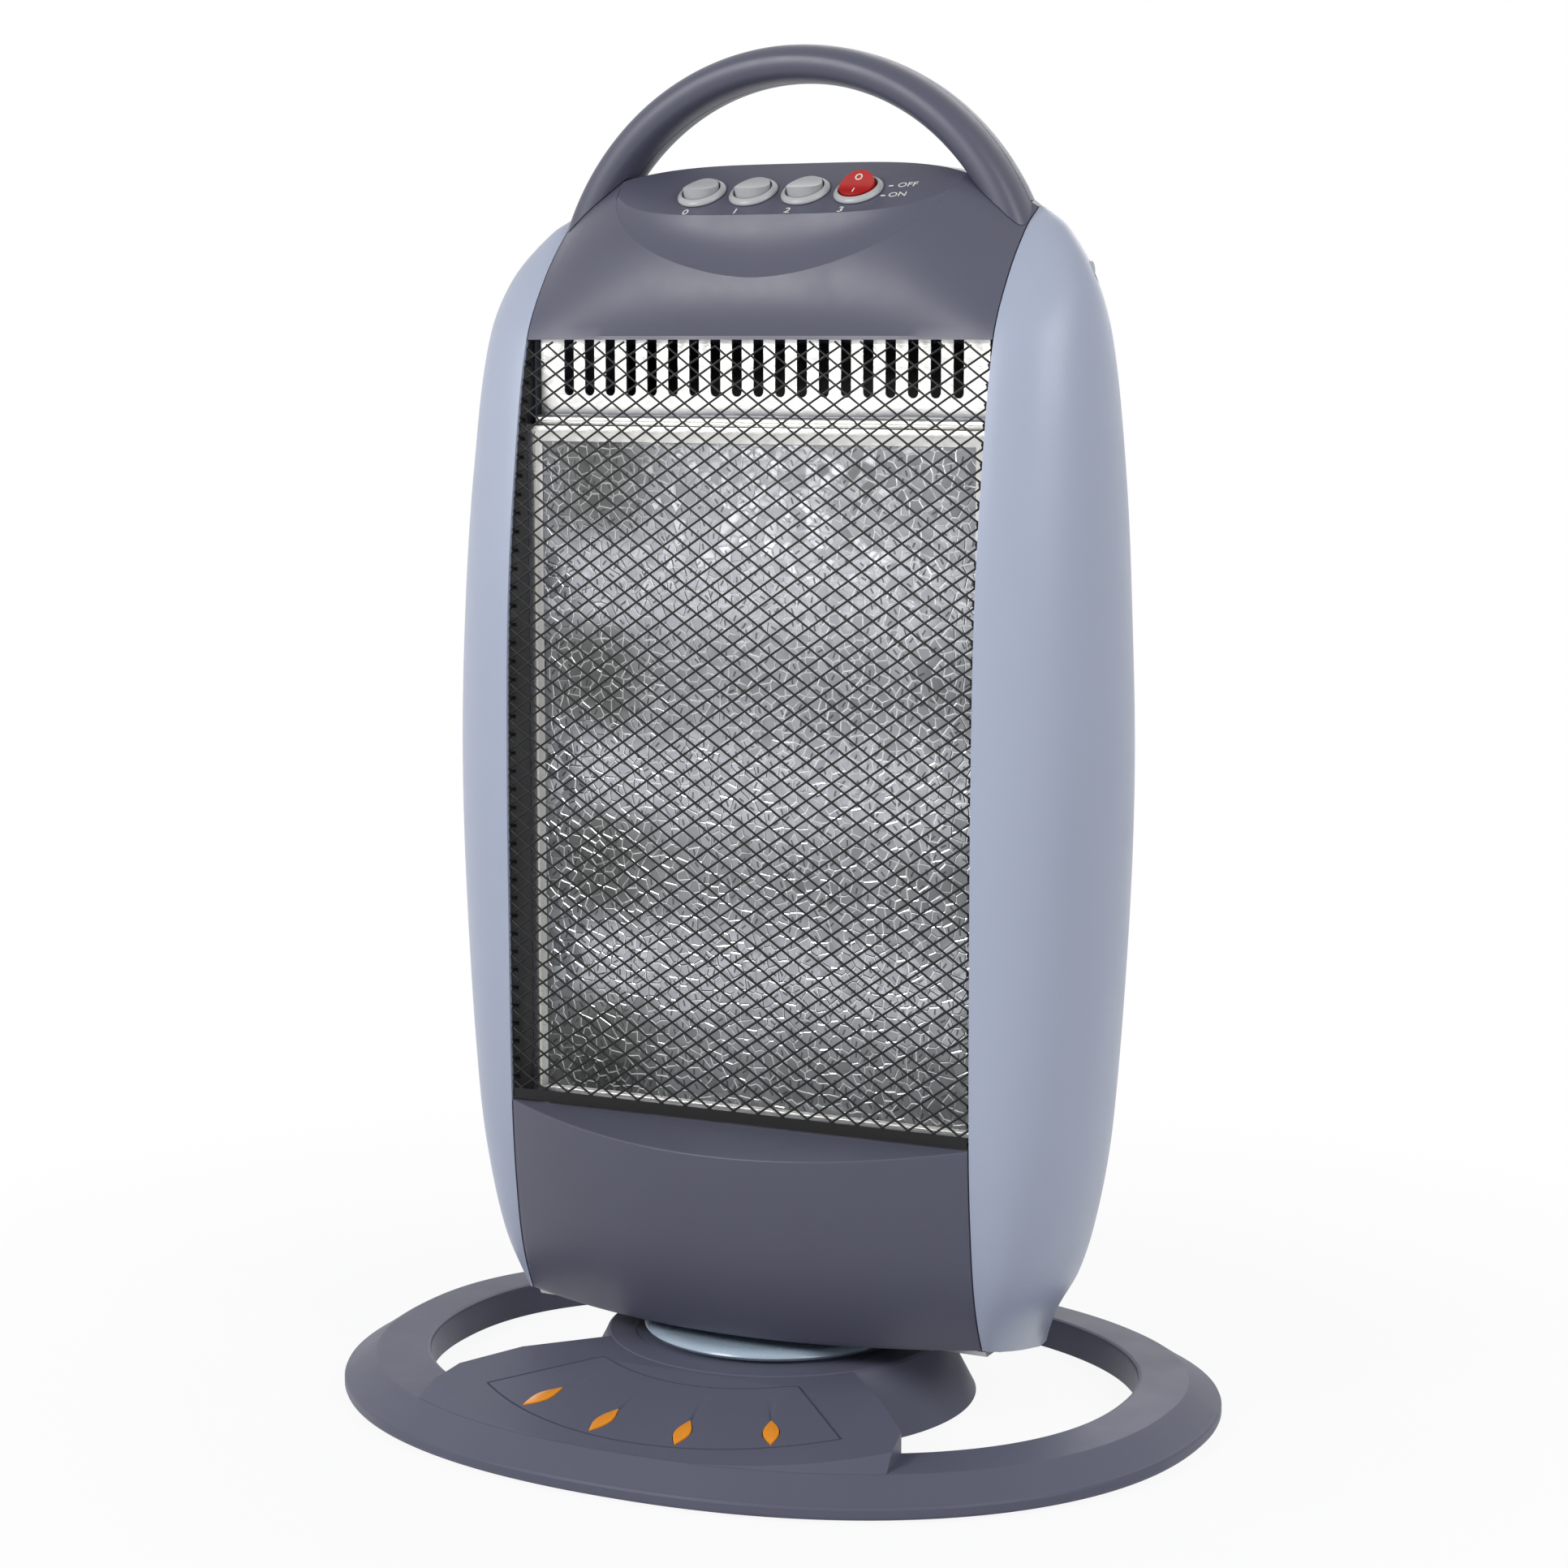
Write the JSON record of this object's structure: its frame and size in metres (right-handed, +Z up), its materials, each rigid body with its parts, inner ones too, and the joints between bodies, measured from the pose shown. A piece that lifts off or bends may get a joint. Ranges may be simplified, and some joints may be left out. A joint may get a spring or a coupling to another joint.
{
  "type": "halogen heater",
  "caption": "Upright halogen heater with a bowed black wire guard over a patterned glass pane, an arched carrying handle, rocker switches and an oval ring base on which the body swings.",
  "frame": {"origin": "on the floor under the middle of the oval base", "axes": "+Z up, the window and guard face -Y, +X is the viewer's right from the front"},
  "size_m": [0.352, 0.2776, 0.5234],
  "materials": {
    "base_plastic": "dark blue-grey moulded plastic, satin",
    "dark_plastic": "dark blue-grey moulded plastic, satin",
    "pale_plastic": "light blue-grey moulded plastic, semi-gloss",
    "rear_plastic": "light grey moulded plastic",
    "disc_plastic": "pale blue-grey turned plastic disc",
    "grey_plastic": "light grey plastic",
    "red_plastic": "red gloss plastic",
    "amber_plastic": "orange gloss plastic",
    "black_plastic": "black plastic",
    "black_wire": "black coated expanded steel",
    "bright_sheet": "bright plated sheet",
    "reflector_sheet": "polished reflector sheet",
    "steel": "zinc plated steel",
    "pane_glass": "clear glass with a cracked-ice relief",
    "tube_glass": "clear quartz tube",
    "ceramic": "white ceramic",
    "rubber": "black rubber"
  },
  "bodies": {
    "base": {"base_ring": "base_plastic", "base_plate": "steel", "foot_1": "rubber", "foot_2": "rubber", "foot_3": "rubber", "foot_4": "rubber", "leaf_insert_1": "amber_plastic", "leaf_insert_2": "amber_plastic", "leaf_insert_3": "amber_plastic", "leaf_insert_4": "amber_plastic", "swing_motor": "steel", "pivot_bush": "grey_plastic"},
    "crank": {"crank_disc": "grey_plastic"},
    "heater": {"swing_lever": "steel", "retaining_collar": "steel", "spindle": "steel", "floor_plate": "steel", "panel_screw_right": "steel", "panel_screw_left": "steel", "cord_gland": "rubber", "switch_1": "grey_plastic", "switch_2": "grey_plastic", "switch_3": "grey_plastic", "switch_4": "grey_plastic", "swivel_disc": "disc_plastic", "side_panel_right": "pale_plastic", "side_panel_left": "pale_plastic", "rear_cover": "rear_plastic", "top_cover": "dark_plastic", "lower_cover": "dark_plastic", "handle_front": "dark_plastic", "handle_rear": "dark_plastic", "guard_net": "black_wire", "glass_pane": "pane_glass", "glass_frame": "bright_sheet", "vent_plate": "bright_sheet", "end_plate_right": "bright_sheet", "end_plate_left": "bright_sheet", "reflector": "reflector_sheet", "thermal_cutout": "black_plastic", "tip_over_switch": "black_plastic", "terminal_block": "ceramic", "tube_cap_1_right": "ceramic", "tube_cap_1_left": "ceramic", "tube_cap_2_right": "ceramic", "tube_cap_2_left": "ceramic", "tube_cap_3_right": "ceramic", "tube_cap_3_left": "ceramic", "halogen_tube_1": "tube_glass", "halogen_tube_2": "tube_glass", "halogen_tube_3": "tube_glass"},
    "rocker_1": {"rocker_1": "grey_plastic"},
    "rocker_2": {"rocker_2": "grey_plastic"},
    "rocker_3": {"rocker_3": "grey_plastic"},
    "rocker_4": {"rocker_4": "red_plastic"}
  },
  "joints": [
    {"name": "swing", "type": "hinge", "parent": "base", "child": "heater", "pos_m": [0, 0.0048, 0], "axis": [0, 0, 1], "range_deg": [-30, 30]},
    {"name": "crank_turn", "type": "hinge", "parent": "base", "child": "crank", "pos_m": [0, 0.0408, 0], "axis": [0, 0, 1], "continuous": true},
    {"name": "rocker_1_tip", "type": "hinge", "parent": "heater", "child": "rocker_1", "pos_m": [-0.033, 0.00727, 0.46785], "axis": [1, 0, 0], "range_deg": [0, 24]},
    {"name": "rocker_2_tip", "type": "hinge", "parent": "heater", "child": "rocker_2", "pos_m": [-0.011, 0.00727, 0.46785], "axis": [1, 0, 0], "range_deg": [0, 24]},
    {"name": "rocker_3_tip", "type": "hinge", "parent": "heater", "child": "rocker_3", "pos_m": [0.011, 0.00727, 0.46785], "axis": [1, 0, 0], "range_deg": [0, 24]},
    {"name": "rocker_4_tip", "type": "hinge", "parent": "heater", "child": "rocker_4", "pos_m": [0.033, 0.00727, 0.46785], "axis": [1, 0, 0], "range_deg": [-24, 0]}
  ]
}
